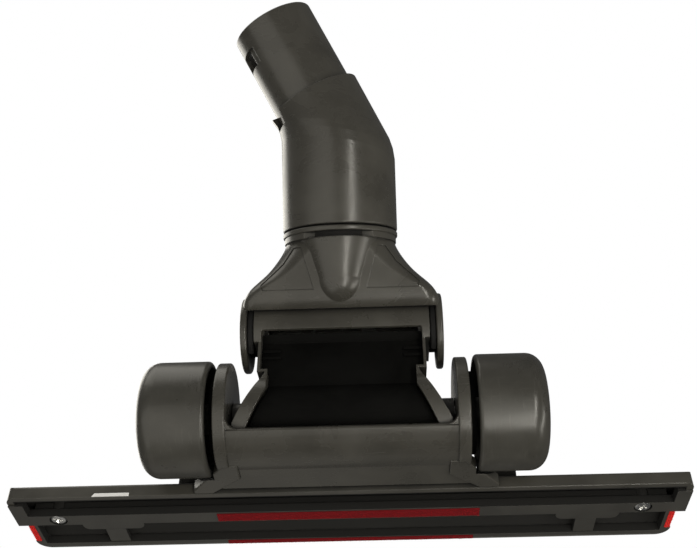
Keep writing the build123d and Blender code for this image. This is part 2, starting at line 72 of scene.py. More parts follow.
def buildCamera(setup):
    turn, rise = radians(-setup["turnLeft"]), radians(setup["lookUp"])
    ahead = Vector((sin(turn) * cos(rise), cos(turn) * cos(rise), sin(rise)))
    right = Vector((cos(turn), -sin(turn), 0.0))
    up = right.cross(ahead)
    data = bpy.data.cameras.new("photoCamera")
    data.lens = setup["lens"]
    data.sensor_width = setup["sensor"]
    data.clip_start = setup["nearest"]
    camera = bpy.data.objects.new("photoCamera", data)
    scene.collection.objects.link(camera)
    basis = Matrix((right, up, -ahead)).transposed().to_4x4()
    camera.matrix_world = Matrix.Translation(setup["place"]) @ basis
    scene.camera = camera


buildCamera(cameraSetup)
print("camera set")


# small node helpers
def addNode(tree, kind, **settings):
    node = tree.nodes.new(kind)
    for key, value in settings.items():
        setattr(node, key, value)
    return node


def setInputs(node, **values):
    for key, value in values.items():
        node.inputs[key.replace("_", " ")].default_value = value
    return node


def link(tree, source, target):
    tree.links.new(source, target)


def mathNode(tree, operation, first, second):
    node = addNode(tree, "ShaderNodeMath", operation=operation)
    for slotIndex, value in enumerate((first, second)):
        if isinstance(value, (int, float)):
            node.inputs[slotIndex].default_value = value
        else:
            link(tree, value, node.inputs[slotIndex])
    return node.outputs[0]


def remap(tree, value, fromLow, fromHigh, toLow, toHigh):
    node = addNode(tree, "ShaderNodeMapRange")
    setInputs(node, From_Min=fromLow, From_Max=fromHigh, To_Min=toLow, To_Max=toHigh)
    link(tree, value, node.inputs["Value"])
    return node.outputs["Result"]


def mixColour(tree, factor, first, second):
    node = addNode(tree, "ShaderNodeMix", data_type="RGBA")
    colourSockets = (node.inputs["Factor"], node.inputs[6], node.inputs[7])  # 6 and 7 take the colours
    for socket, value in zip(colourSockets, (factor, first, second)):
        if isinstance(value, (int, float, tuple)):
            socket.default_value = value
        else:
            link(tree, value, socket)
    return node.outputs[2]  # the colour result


def newGroup(name, inputs, outputs):
    group = bpy.data.node_groups.new(name, "ShaderNodeTree")
    for label, default in inputs.items():
        socket = group.interface.new_socket(label, in_out="INPUT", socket_type="NodeSocketFloat")
        socket.default_value = default
    for label, kind in outputs.items():
        group.interface.new_socket(label, in_out="OUTPUT", socket_type=kind)
    return group, addNode(group, "NodeGroupInput"), addNode(group, "NodeGroupOutput")


def buildMouldedGrain():
    # fine spark texture, slow mottling and short rubbed lines of a moulded part
    group, given, result = newGroup(
        "mouldedGrain",
        {"Grain Scale": 2600.0, "Mottle Scale": 38.0, "Rub Scale": 90.0},
        {"Height": "NodeSocketFloat", "Mottle": "NodeSocketFloat", "Rub": "NodeSocketFloat"},
    )
    place = addNode(group, "ShaderNodeTexCoord").outputs["Object"]
    grain = setInputs(addNode(group, "ShaderNodeTexNoise"), Detail=3.0, Roughness=0.6)
    link(group, place, grain.inputs["Vector"])
    link(group, given.outputs["Grain Scale"], grain.inputs["Scale"])
    mottle = setInputs(addNode(group, "ShaderNodeTexNoise"), Detail=5.0, Roughness=0.62, Distortion=0.4)
    link(group, place, mottle.inputs["Vector"])
    link(group, given.outputs["Mottle Scale"], mottle.inputs["Scale"])
    stretch = addNode(group, "ShaderNodeMapping")
    stretch.inputs["Scale"].default_value = (0.6, 5.0, 9.0)
    stretch.inputs["Rotation"].default_value = (0.5, 0.3, 0.7)
    link(group, place, stretch.inputs["Vector"])
    rub = setInputs(addNode(group, "ShaderNodeTexNoise"), Detail=4.0, Roughness=0.7, Distortion=0.8)
    link(group, stretch.outputs["Vector"], rub.inputs["Vector"])
    link(group, given.outputs["Rub Scale"], rub.inputs["Scale"])
    link(group, grain.outputs["Fac"], result.inputs["Height"])
    link(group, mottle.outputs["Fac"], result.inputs["Mottle"])
    link(group, remap(group, rub.outputs["Fac"], 0.6, 0.72, 0.0, 1.0), result.inputs["Rub"])
    return group


def buildEdgeRound():
    # rounded normal along sharp edges, and a mask of where the edge is rubbed
    group, given, result = newGroup(
        "edgeRound",
        {"Radius": 0.0006, "Patch Scale": 160.0},
        {"Normal": "NodeSocketVector", "Wear": "NodeSocketFloat"},
    )
    bevel = addNode(group, "ShaderNodeBevel", samples=6)
    link(group, given.outputs["Radius"], bevel.inputs["Radius"])
    shape = addNode(group, "ShaderNodeNewGeometry")
    facing = addNode(group, "ShaderNodeVectorMath", operation="DOT_PRODUCT")
    link(group, bevel.outputs["Normal"], facing.inputs[0])
    link(group, shape.outputs["Normal"], facing.inputs[1])
    edge = remap(group, facing.outputs["Value"], 0.98, 0.80, 0.0, 1.0)
    patch = setInputs(addNode(group, "ShaderNodeTexNoise"), Detail=4.0)
    link(group, addNode(group, "ShaderNodeTexCoord").outputs["Object"], patch.inputs["Vector"])
    link(group, given.outputs["Patch Scale"], patch.inputs["Scale"])
    worn = mathNode(group, "MULTIPLY", edge, remap(group, patch.outputs["Fac"], 0.42, 0.62, 0.0, 1.0))
    link(group, bevel.outputs["Normal"], result.inputs["Normal"])
    link(group, worn, result.inputs["Wear"])
    return group


def buildCreviceShade():
    # painted shade: mask of gaps, slots and inner corners, where little light reaches
    group, given, result = newGroup("creviceShade", {"Reach": 0.006, "Depth": 1.0}, {"Mask": "NodeSocketFloat"})
    hidden = addNode(group, "ShaderNodeAmbientOcclusion", samples=8)
    link(group, given.outputs["Reach"], hidden.inputs["Distance"])
    mask = remap(group, hidden.outputs["AO"], 0.75, 0.2, 0.0, 1.0)
    link(group, mathNode(group, "MULTIPLY", mask, given.outputs["Depth"]), result.inputs["Mask"])
    return group


def buildWheelScuff():
    # fine rings and short skids round a wheel, in patches
    group, given, result = newGroup(
        "wheelScuff",
        {"Axle Y": 0.0, "Axle Z": 0.0, "Rings": 900.0, "Patch Scale": 45.0},
        {"Mask": "NodeSocketFloat"},
    )
    place = addNode(group, "ShaderNodeTexCoord").outputs["Object"]
    axes = addNode(group, "ShaderNodeSeparateXYZ")
    link(group, place, axes.inputs["Vector"])
    alongY = mathNode(group, "SUBTRACT", axes.outputs["Y"], given.outputs["Axle Y"])
    alongZ = mathNode(group, "SUBTRACT", axes.outputs["Z"], given.outputs["Axle Z"])
    turn = mathNode(group, "ARCTAN2", alongZ, alongY)
    rings = addNode(group, "ShaderNodeCombineXYZ")
    link(group, mathNode(group, "MULTIPLY", axes.outputs["X"], given.outputs["Rings"]), rings.inputs["X"])
    link(group, mathNode(group, "MULTIPLY", turn, 2.4), rings.inputs["Y"])
    line = setInputs(addNode(group, "ShaderNodeTexNoise"), Scale=1.0, Detail=4.0, Roughness=0.65)
    link(group, rings.outputs["Vector"], line.inputs["Vector"])
    patch = setInputs(addNode(group, "ShaderNodeTexNoise"), Detail=3.0)
    link(group, place, patch.inputs["Vector"])
    link(group, given.outputs["Patch Scale"], patch.inputs["Scale"])
    where = remap(group, patch.outputs["Fac"], 0.45, 0.65, 0.1, 1.0)
    mask = mathNode(group, "MULTIPLY", remap(group, line.outputs["Fac"], 0.55, 0.7, 0.0, 1.0), where)
    link(group, mask, result.inputs["Mask"])
    return group


mouldedGrain = buildMouldedGrain()
edgeRound = buildEdgeRound()
creviceShade = buildCreviceShade()
wheelScuff = buildWheelScuff()


def newMaterial(name):
    material = bpy.data.materials.new(name)
    material.use_nodes = True
    tree = material.node_tree
    tree.nodes.clear()
    skin = addNode(tree, "ShaderNodeBsdfPrincipled")
    link(tree, skin.outputs["BSDF"], addNode(tree, "ShaderNodeOutputMaterial").inputs["Surface"])
    return material, tree, skin


# colours are linear, rough is the lowest and highest roughness,
# grainDepth, edge and reach are in millimetres
charcoal = {
    "dark": (0.036, 0.034, 0.0285),
    "light": (0.050, 0.0475, 0.040),
    "paleMarks": (0.085, 0.081, 0.070),
    "rough": (0.22, 0.34),
    "grainDepth": 0.008,
    "edge": 0.5,
    "grain": 2600.0,
    "reach": 6.0,
    "shine": 0.5,
}
plasticLooks = {
    "greyShell": charcoal,
    "greyHead": {**charcoal, "rough": (0.26, 0.38), "grainDepth": 0.010, "edge": 0.8},
    "greyRing": {**charcoal, "shine": 0.45},
    "greyWheel": {
        "dark": (0.033, 0.0315, 0.0265),
        "light": (0.047, 0.045, 0.038),
        "paleMarks": (0.090, 0.086, 0.075),
        "rough": (0.24, 0.36),
        "grainDepth": 0.012,
        "edge": 0.5,
        "grain": 2100.0,
        "reach": 7.0,
        "shine": 0.5,
    },
    "greySole": {
        "dark": (0.032, 0.0305, 0.027),
        "light": (0.046, 0.0445, 0.039),
        "paleMarks": (0.085, 0.083, 0.076),
        "rough": (0.34, 0.50),
        "grainDepth": 0.014,
        "edge": 0.4,
        "grain": 2000.0,
        "reach": 9.0,
        "shine": 0.4,
    },
    # near black, darker than the plastic alone: the parts' own black deepened into painted shade on the
    # recessed trunk panel and on the clip and washers by the slits
    "blackWithPaintedShade": {
        "dark": (0.0022, 0.0022, 0.002),
        "light": (0.0042, 0.0042, 0.0038),
        "paleMarks": (0.009, 0.009, 0.008),
        "rough": (0.6, 0.78),
        "grainDepth": 0.02,
        "edge": 0.3,
        "grain": 1500.0,
        "reach": 6.0,
        "shine": 0.05,
    },
    "blackSeal": {
        "dark": (0.004, 0.004, 0.004),
        "light": (0.008, 0.008, 0.008),
        "paleMarks": (0.015, 0.015, 0.015),
        "rough": (0.6, 0.8),
        "grainDepth": 0.02,
        "edge": 0.3,
        "grain": 1800.0,
        "reach": 4.0,
        "shine": 0.2,
    },
}
# how much of each kind of wear and shade shows, from 0 to 1
wearAndShadeSetup = {
    "rub": 0.2,
    "edge": 0.5,
    "scuff": 0.5,
    # duct is the share of painted shade on the faces inside the head
    "duct": 0.85,
    "rubDull": 0.3,  # roughness added where rubbed
    "gapDull": 0.6,  # roughness added in the gaps, where dust lies
    "bump": 0.6,
}
mottleRange = (0.3, 0.7)  # where most of the mottling's values lie
# painted shade: the near black that gaps, slots and the inside of the head are mixed towards
paintedShadeColour = (0.0018, 0.0018, 0.0017)  # what the gaps and slots fade to


def rgba(colour):
    return (*colour, 1.0)


def addWheelScuff(tree):
    low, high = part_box("wheel_left")
    scuff = addNode(tree, "ShaderNodeGroup", node_tree=wheelScuff)
    scuff.inputs["Axle Y"].default_value = (low[1] + high[1]) / 2
    scuff.inputs["Axle Z"].default_value = (low[2] + high[2]) / 2
    return mathNode(tree, "MULTIPLY", scuff.outputs["Mask"], wearAndShadeSetup["scuff"])


def splitAxes(tree, vector):
    node = addNode(tree, "ShaderNodeSeparateXYZ")
    link(tree, vector, node.inputs["Vector"])
    return node.outputs


ductSetup = {"wall": 3.0, "roofTilt": 0.2, "soleTilt": -0.5}  # wall in millimetres, tilts as the normal's Z


def addDuctShade(tree, downFaces):
    # mask of the faces inside the head's walls: with downFaces the roof and walls of the cover,
    # without them only the upright walls and upper faces of the sole
    low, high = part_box("sole_plate")
    wall = ductSetup["wall"] * mm
    facing = splitAxes(tree, addNode(tree, "ShaderNodeNewGeometry").outputs["True Normal"])
    axes = splitAxes(tree, addNode(tree, "ShaderNodeTexCoord").outputs["Object"])
    if downFaces:
        turned = mathNode(tree, "LESS_THAN", facing["Z"], ductSetup["roofTilt"])
    else:
        turned = mathNode(tree, "GREATER_THAN", facing["Z"], ductSetup["soleTilt"])
    behind = mathNode(tree, "GREATER_THAN", axes["Y"], low[1] - wall)
    before = mathNode(tree, "LESS_THAN", axes["Y"], high[1] - wall)
    between = mathNode(tree, "LESS_THAN", mathNode(tree, "ABSOLUTE", axes["X"], 0.0), high[0] - wall)
    inside = mathNode(tree, "MULTIPLY", before, between)
    return mathNode(tree, "MULTIPLY", mathNode(tree, "MULTIPLY", turned, behind), inside)


sleeveSetup = {"pale": 25.6, "dark": 24.8, "share": 0.95}  # radii in millimetres


def addSleeveShade(tree):
    # mask of the sleeve inside its ring, which shows dark through the slot below the ring
    neck = jointNamed("neck_swivel")
    place = addNode(tree, "ShaderNodeTexCoord").outputs["Object"]
    offset = addNode(tree, "ShaderNodeVectorMath", operation="SUBTRACT")
    link(tree, place, offset.inputs[0])
    offset.inputs[1].default_value = neck["pos_m"]
    across = addNode(tree, "ShaderNodeVectorMath", operation="CROSS_PRODUCT")
    link(tree, offset.outputs["Vector"], across.inputs[0])
    across.inputs[1].default_value = neck["axis"]
    radius = addNode(tree, "ShaderNodeVectorMath", operation="LENGTH")
    link(tree, across.outputs["Vector"], radius.inputs[0])
    pale, dark = sleeveSetup["pale"] * mm, sleeveSetup["dark"] * mm
    return remap(tree, radius.outputs["Value"], pale, dark, 0.0, sleeveSetup["share"])


lipSetup = {"from": 1.6, "to": 0.4, "share": 0.9}  # millimetres behind the front edge


def addPaleLip(tree):
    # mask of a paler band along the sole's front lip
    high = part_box("sole_plate")[1]
    axes = splitAxes(tree, addNode(tree, "ShaderNodeTexCoord").outputs["Object"])
    start, end = high[1] - lipSetup["from"] * mm, high[1] - lipSetup["to"] * mm
    return remap(tree, axes["Y"], start, end, 0.0, lipSetup["share"])


def buildPlastic(name, look):
    material, tree, skin = newMaterial(name)
    grain = addNode(tree, "ShaderNodeGroup", node_tree=mouldedGrain)
    grain.inputs["Grain Scale"].default_value = look["grain"]
    rounded = addNode(tree, "ShaderNodeGroup", node_tree=edgeRound)
    rounded.inputs["Radius"].default_value = look["edge"] * mm
    gap = addNode(tree, "ShaderNodeGroup", node_tree=creviceShade)
    gap.inputs["Reach"].default_value = look["reach"] * mm
    mottle = remap(tree, grain.outputs["Mottle"], 0.35, 0.65, 0.0, 1.0)
    base = mixColour(tree, mottle, rgba(look["dark"]), rgba(look["light"]))
    paleMarks = mathNode(tree, "MULTIPLY", grain.outputs["Rub"], wearAndShadeSetup["rub"])
    if name == "greyWheel":
        paleMarks = mathNode(tree, "MAXIMUM", paleMarks, addWheelScuff(tree))
    # the sole also gets a paler band along its front lip
    if name == "greySole":
        paleMarks = mathNode(tree, "MAXIMUM", paleMarks, addPaleLip(tree))
    worn = mathNode(tree, "MULTIPLY", rounded.outputs["Wear"], wearAndShadeSetup["edge"])
    colour = mixColour(tree, mathNode(tree, "MAXIMUM", paleMarks, worn), base, rgba(look["paleMarks"]))
    # painted shade: gaps, the faces inside the head and the sleeve behind the slot are mixed towards near
    # black
    shade = gap.outputs["Mask"]
    if name in ("greyHead", "greySole"):
        duct = mathNode(tree, "MULTIPLY", addDuctShade(tree, name == "greyHead"), wearAndShadeSetup["duct"])
        shade = mathNode(tree, "MAXIMUM", shade, duct)
    if name == "greyRing":
        shade = mathNode(tree, "MAXIMUM", shade, addSleeveShade(tree))
    link(tree, mixColour(tree, shade, colour, rgba(paintedShadeColour)), skin.inputs["Base Color"])
    rough = remap(tree, grain.outputs["Mottle"], *mottleRange, *look["rough"])
    rough = mathNode(tree, "ADD", rough, mathNode(tree, "MULTIPLY", paleMarks, wearAndShadeSetup["rubDull"]))
    rough = mathNode(tree, "ADD", rough, mathNode(tree, "MULTIPLY", shade, wearAndShadeSetup["gapDull"]))
    link(tree, rough, skin.inputs["Roughness"])
    setInputs(skin, Specular_IOR_Level=look["shine"])
    bump = addNode(tree, "ShaderNodeBump")
    setInputs(bump, Strength=wearAndShadeSetup["bump"], Distance=look["grainDepth"] * mm)
    link(tree, grain.outputs["Height"], bump.inputs["Height"])
    link(tree, rounded.outputs["Normal"], bump.inputs["Normal"])
    link(tree, bump.outputs["Normal"], skin.inputs["Normal"])
    return material


materials = {name: buildPlastic(name, look) for name, look in plasticLooks.items()}

zincLook = {"bright": (0.86, 0.86, 0.85), "dull": (0.58, 0.58, 0.57), "rough": (0.22, 0.40), "mottle": 420.0}


def buildZinc(look):
    material, tree, skin = newMaterial("zincPlate")
    grain = addNode(tree, "ShaderNodeGroup", node_tree=mouldedGrain)
    grain.inputs["Mottle Scale"].default_value = look["mottle"]
    mottle = grain.outputs["Mottle"]
    link(tree, mixColour(tree, mottle, rgba(look["dull"]), rgba(look["bright"])), skin.inputs["Base Color"])
    link(tree, remap(tree, mottle, *mottleRange, *look["rough"]), skin.inputs["Roughness"])
    skin.inputs["Metallic"].default_value = 1.0
    return material


materials["zincPlate"] = buildZinc(zincLook)

clothLooks = {
    "lintPile": {"deep": (0.13, 0.005, 0.007), "tip": (0.36, 0.012, 0.016), "sheen": 0.03, "patch": 240.0},
    "edgePile": {"deep": (0.50, 0.02, 0.018), "tip": (0.90, 0.05, 0.04), "sheen": 0.05, "patch": 240.0},
}


def buildCloth(name, look):
    material, tree, skin = newMaterial(name)
    tone = addNode(tree, "ShaderNodeAttribute", attribute_name="tone")
    patch = setInputs(addNode(tree, "ShaderNodeTexNoise"), Scale=look["patch"], Detail=4.0)
    link(tree, addNode(tree, "ShaderNodeTexCoord").outputs["Object"], patch.inputs["Vector"])
    patchy = remap(tree, patch.outputs["Fac"], *mottleRange, 0.5, 1.1)
    blend = mathNode(tree, "MULTIPLY", tone.outputs["Fac"], patchy)
    link(tree, mixColour(tree, blend, rgba(look["deep"]), rgba(look["tip"])), skin.inputs["Base Color"])
    setInputs(skin, Roughness=0.9, Specular_IOR_Level=0.08, Sheen_Weight=look["sheen"], Sheen_Roughness=0.4)
    return material


materials.update({name: buildCloth(name, look) for name, look in clothLooks.items()})

nodeLooks = {
    "greyHead": ["head_cover"],
    "greyShell": [
        "carriage", "carriage_arm_left", "carriage_arm_right", "trunk_shell", "yoke_rear", "yoke_front",
        "elbow", "connector",
    ],
    "greyRing": ["swivel_sleeve"],
    "greyWheel": ["wheel_left", "wheel_right"],
    "greySole": ["sole_plate"],
    # the parts' own black with painted shade on the trunk panel, the clip and the washers
    "blackWithPaintedShade": [
        "trunk_panel", "swivel_clip", "wheel_washer_left", "wheel_washer_right", "yoke_washer_left",
        "yoke_washer_right",
    ],
    "blackSeal": ["trough_seals", "hood_seals", "swivel_seal"],
    "zincPlate": ["stub_axle_left", "stub_axle_right", "yoke_pin_left", "yoke_pin_right"],
}


def dressNodes(looks):
    for materialName, names in looks.items():
        for nodeName in names:
            mesh = cadNodes[nodeName].data
            mesh.materials.clear()
            mesh.materials.append(materials[materialName])


dressNodes(nodeLooks)
print("finishes on the solids")


def newPiece(name, shape):
    # a mesh object at the origin, from a bmesh
    mesh = bpy.data.meshes.new(name)
    shape.to_mesh(mesh)
    shape.free()
    piece = bpy.data.objects.new(name, mesh)
    scene.collection.objects.link(piece)
    return piece


def finishPiece(piece, body, slotName, *replaced):
    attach(piece, body)
    if replaced:
        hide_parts(*replaced)


def newGeometryGroup(name, inputs):
    group = bpy.data.node_groups.new(name, "GeometryNodeTree")
    group.interface.new_socket("Geometry", in_out="INPUT", socket_type="NodeSocketGeometry")
    for label, kind in inputs.items():
        group.interface.new_socket(label, in_out="INPUT", socket_type=kind)
    group.interface.new_socket("Geometry", in_out="OUTPUT", socket_type="NodeSocketGeometry")
    return group, addNode(group, "NodeGroupInput").outputs, addNode(group, "NodeGroupOutput").inputs


def growPiece(piece, group, values):
    # run a geometry group on the piece and keep the result as a plain mesh
    modifier = piece.modifiers.new(group.name, "NODES")
    modifier.node_group = group
    sockets = {item.name: item.identifier for item in group.interface.items_tree if item.in_out == "INPUT"}
    for label, value in values.items():
        modifier[sockets[label]] = value
    grown = piece.evaluated_get(bpy.context.evaluated_depsgraph_get())
    mesh = bpy.data.meshes.new_from_object(grown)
    piece.modifiers.clear()
    piece.data = mesh


def endPiece(group, geometry, material, result):
    # last two nodes of every geometry group
    real = addNode(group, "GeometryNodeRealizeInstances")
    link(group, geometry, real.inputs["Geometry"])
    painted = addNode(group, "GeometryNodeSetMaterial")
    link(group, real.outputs["Geometry"], painted.inputs["Geometry"])
    link(group, material, painted.inputs["Material"])
    link(group, painted.outputs["Geometry"], result["Geometry"])


def randomNode(group, kind, low, high, seed):
    node = addNode(group, "FunctionNodeRandomValue", data_type=kind)
    ends = {"FLOAT": (2, 3), "FLOAT_VECTOR": (0, 1)}[kind]
    for index, value in zip(ends, (low, high)):
        node.inputs[index].default_value = value
    link(group, seed, node.inputs["Seed"])
    return node.outputs[{"FLOAT": 1, "FLOAT_VECTOR": 0}[kind]]


# shares of the fibre's length and tone, lean in radians
fibreSetup = {"sides": 4, "lean": 0.45, "shortest": 0.6, "darkest": 0.25}


def buildPileField(setup):
    # short fibres standing on the faces marked "piled", each with its own lean, length and tone
    group, given, result = newGeometryGroup("pileField", {
        "Density": "NodeSocketFloat",
        "Length": "NodeSocketFloat",
        "Radius": "NodeSocketFloat",
        "Seed": "NodeSocketInt",
        "Material": "NodeSocketMaterial",
    })
    marked = addNode(group, "GeometryNodeInputNamedAttribute", data_type="BOOLEAN")
    marked.inputs["Name"].default_value = "piled"
    spots = addNode(group, "GeometryNodeDistributePointsOnFaces")
    link(group, given["Geometry"], spots.inputs["Mesh"])
    link(group, marked.outputs["Attribute"], spots.inputs["Selection"])
    link(group, given["Density"], spots.inputs["Density"])
    link(group, given["Seed"], spots.inputs["Seed"])
    fibre = addNode(group, "GeometryNodeMeshCone", fill_type="NONE")
    setInputs(fibre, Vertices=setup["sides"])
    link(group, given["Radius"], fibre.inputs["Radius Bottom"])
    link(group, given["Length"], fibre.inputs["Depth"])
    most = setup["lean"]
    angles = randomNode(group, "FLOAT_VECTOR", (-most, -most, 0.0), (most, most, 2 * pi), given["Seed"])
    lean = addNode(group, "FunctionNodeEulerToRotation")
    link(group, angles, lean.inputs["Euler"])
    turned = addNode(group, "FunctionNodeRotateRotation", rotation_space="LOCAL")
    link(group, spots.outputs["Rotation"], turned.inputs["Rotation"])
    link(group, lean.outputs["Rotation"], turned.inputs["Rotate By"])
    planted = addNode(group, "GeometryNodeInstanceOnPoints")
    link(group, spots.outputs["Points"], planted.inputs["Points"])
    link(group, fibre.outputs["Mesh"], planted.inputs["Instance"])
    link(group, turned.outputs["Rotation"], planted.inputs["Rotation"])
    link(group, randomNode(group, "FLOAT", setup["shortest"], 1.0, given["Seed"]), planted.inputs["Scale"])
    toned = addNode(group, "GeometryNodeStoreNamedAttribute", data_type="FLOAT", domain="INSTANCE")
    toned.inputs["Name"].default_value = "tone"
    link(group, planted.outputs["Instances"], toned.inputs["Geometry"])
    link(group, randomNode(group, "FLOAT", setup["darkest"], 1.0, given["Seed"]), toned.inputs["Value"])
    whole = addNode(group, "GeometryNodeJoinGeometry")
    link(group, given["Geometry"], whole.inputs["Geometry"])
    link(group, toned.outputs["Geometry"], whole.inputs["Geometry"])
    endPiece(group, whole.outputs["Geometry"], given["Material"], result)
    return group


pileField = buildPileField(fibreSetup)

# millimetres, perSquare is fibres on a square millimetre, corner is a share of the pile
lintStrip = {
    "material": "lintPile",
    "slot": "lint_cloth",
    "pile": 0.40,
    "inset": 0.2,
    "fibre": 0.16,
    "perSquare": 8.0,
    "corner": 0.3,
}
edgeStrip = {**lintStrip, "material": "edgePile", "slot": "edge_cloth", "pile": 0.55, "fibre": 0.20}
pileStrips = {
    "lint_strip_rear": {**lintStrip, "inset": 0.4, "seed": 3},
    "lint_strip_front": {**lintStrip, "seed": 5},
    "end_strip_left": {**edgeStrip, "seed": 7},
    "end_strip_right": {**edgeStrip, "seed": 9},
}


def buildStrip(nodeName, setup):
    # a backing inside the solid by the height of the pile, which grows back out to it
    low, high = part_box(nodeName)
    low, high = Vector(low), Vector(high)
    pile = setup["pile"] * mm
    onEnd = "end" in nodeName
    outward = 1.0 if high.x > 0 else -1.0
    low.z += pile
    low.y += setup["inset"] * mm
    high.y -= setup["inset"] * mm
    if onEnd:
        if outward > 0:
            high.x -= pile
        else:
            low.x += pile
    shape = bmesh.new()
    bmesh.ops.create_cube(shape, size=1.0)
    for vert in shape.verts:
        vert.co = (low + high) / 2 + Vector(a * b for a, b in zip(vert.co, high - low))
    longEdges = [edge for edge in shape.edges if edge.calc_length() > 2 * pile]
    bmesh.ops.bevel(shape, geom=longEdges, offset=setup["corner"] * pile, segments=2, affect="EDGES")
    shape.normal_update()
    piled = shape.faces.layers.bool.new("piled")
    facing = 0.3  # least part of the normal that points down or outwards
    for face in shape.faces:
        face[piled] = face.normal.z < -facing or (onEnd and face.normal.x * outward > facing)
    piece = newPiece(nodeName + "_pile", shape)
    growPiece(piece, pileField, {
        "Density": setup["perSquare"] / mm ** 2,
        "Length": pile,
        "Radius": setup["fibre"] / 2 * mm,
        "Seed": setup["seed"],
        "Material": materials[setup["material"]],
    })
    finishPiece(piece, "head", setup["slot"], nodeName)


for stripName, stripSetup in pileStrips.items():
    buildStrip(stripName, stripSetup)
print("pile strips grown")

# cross-head screws under the sole, millimetres
screwSetup = {
    "headHeight": 1.7,
    "flat": 2.7,
    "shank": 1.6,
    "crossLength": 4.4,
    "crossWidth": 1.15,
    "crossDepth": 1.0,
    "crossTaper": 0.7,
    "steps": 48,
    "rimAngles": (0.0, 0.3, 0.6, 0.9, 1.2, pi / 2),
    "sharpFrom": 35.0,  # degrees
    "seed": 4,
}


def lathe(shape, profile, steps):
    # rings of vertices about Z, joined by quads
    rings = []
    for radius, height in profile:
        angles = [2 * pi * step / steps for step in range(steps)]
        rings.append([shape.verts.new((radius * cos(a), radius * sin(a), height)) for a in angles])
    for lower, upper in zip(rings, rings[1:]):
        for step in range(steps):
            after = (step + 1) % steps
            shape.faces.new((lower[step], lower[after], upper[after], upper[step]))
    shape.faces.new(rings[-1])
    return rings


def crossOutline(length, width):
    half, thin = length / 2, width / 2
    corner = [(half, -thin), (half, thin), (thin, thin)]
    quarter = [(1, 0, 0, 1), (0, -1, 1, 0), (-1, 0, 0, -1), (0, 1, -1, 0)]
    return [(a * x + b * y, c * x + d * y) for a, b, c, d in quarter for x, y in corner]


def buildScrewShape(setup, headRadius, length):
    flat, shank, height = setup["flat"], setup["shank"], setup["headHeight"]
    rimRadius = headRadius - flat
    rim = [(flat + rimRadius * sin(angle), rimRadius * (1 - cos(angle))) for angle in setup["rimAngles"]]
    profile = rim + [(headRadius, height), (shank, height), (shank, length)]
    shape = bmesh.new()
    rings = lathe(shape, [(r * mm, z * mm) for r, z in profile], setup["steps"])
    outline = crossOutline(setup["crossLength"], setup["crossWidth"])
    mouth = [shape.verts.new((x * mm, y * mm, 0.0)) for x, y in outline]
    taper = setup["crossTaper"]
    floor = [shape.verts.new((x * taper * mm, y * taper * mm, setup["crossDepth"] * mm)) for x, y in outline]
    for step in range(len(mouth)):
        after = (step + 1) % len(mouth)
        shape.faces.new((mouth[step], mouth[after], floor[after], floor[step]))
    shape.faces.new(floor)
    rimEdges = [shape.edges.get((rings[0][step - 1], rings[0][step])) for step in range(setup["steps"])]
    mouthEdges = [shape.edges.get((mouth[step - 1], mouth[step])) for step in range(len(mouth))]
    bmesh.ops.triangle_fill(shape, edges=rimEdges + mouthEdges, use_beauty=True)
    bmesh.ops.recalc_face_normals(shape, faces=shape.faces)
    return shape


def buildScrewRow():
    # the same screw at both ends of a line, each turned its own way
    group, given, result = newGeometryGroup("screwRow", {
        "Start": "NodeSocketVector",
        "Step": "NodeSocketVector",
        "Seed": "NodeSocketInt",
        "Material": "NodeSocketMaterial",
    })
    spots = addNode(group, "GeometryNodeMeshLine", mode="OFFSET")
    setInputs(spots, Count=2)
    link(group, given["Start"], spots.inputs["Start Location"])
    link(group, given["Step"], spots.inputs["Offset"])
    row = addNode(group, "GeometryNodeInstanceOnPoints")
    link(group, spots.outputs["Mesh"], row.inputs["Points"])
    link(group, given["Geometry"], row.inputs["Instance"])
    angles = randomNode(group, "FLOAT_VECTOR", (0.0, 0.0, 0.0), (0.0, 0.0, pi), given["Seed"])
    turn = addNode(group, "FunctionNodeEulerToRotation")
    link(group, angles, turn.inputs["Euler"])
    link(group, turn.outputs["Rotation"], row.inputs["Rotation"])
    endPiece(group, row.outputs["Instances"], given["Material"], result)
    return group


def buildScrews(setup):
    low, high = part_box("sole_screws")
    headRadius = (high[1] - low[1]) / 2
    reach = high[0] - headRadius
    shape = buildScrewShape(setup, headRadius / mm, (high[2] - low[2]) / mm)
    piece = newPiece("sole_screw_pair", shape)
    growPiece(piece, buildScrewRow(), {
        "Start": (-reach, 0.0, low[2]),
        "Step": (2 * reach, 0.0, 0.0),
        "Seed": setup["seed"],
        "Material": materials["zincPlate"],
    })
    piece.data.shade_smooth()
    piece.data.set_sharp_from_angle(angle=radians(setup["sharpFrom"]))
    finishPiece(piece, "head", "zinc", "sole_screws")


buildScrews(screwSetup)
print("screws set")

# blank pale tab at the foot of the rear wall, left of the carriage, millimetres
tabSetup = {
    "from": -111.5,
    "to": -95.0,
    "height": 1.6,
    "proud": 0.35,
    "foot": 0.1,
    "rounding": 0.3,  # share of proud
    "slant": 1.2,
    "colour": (0.74, 0.735, 0.72),
    "shade": 0.8,
    "mottle": 300.0,
    "rough": (0.35, 0.5),
}


def buildTabMaterial(setup):
    material, tree, skin = newMaterial("paleTab")
    grain = addNode(tree, "ShaderNodeGroup", node_tree=mouldedGrain)
    grain.inputs["Mottle Scale"].default_value = setup["mottle"]
    mottle = grain.outputs["Mottle"]
    shade = tuple(setup["shade"] * value for value in setup["colour"])
    link(tree, mixColour(tree, mottle, rgba(shade), rgba(setup["colour"])), skin.inputs["Base Color"])
    link(tree, remap(tree, mottle, *mottleRange, *setup["rough"]), skin.inputs["Roughness"])
    return material


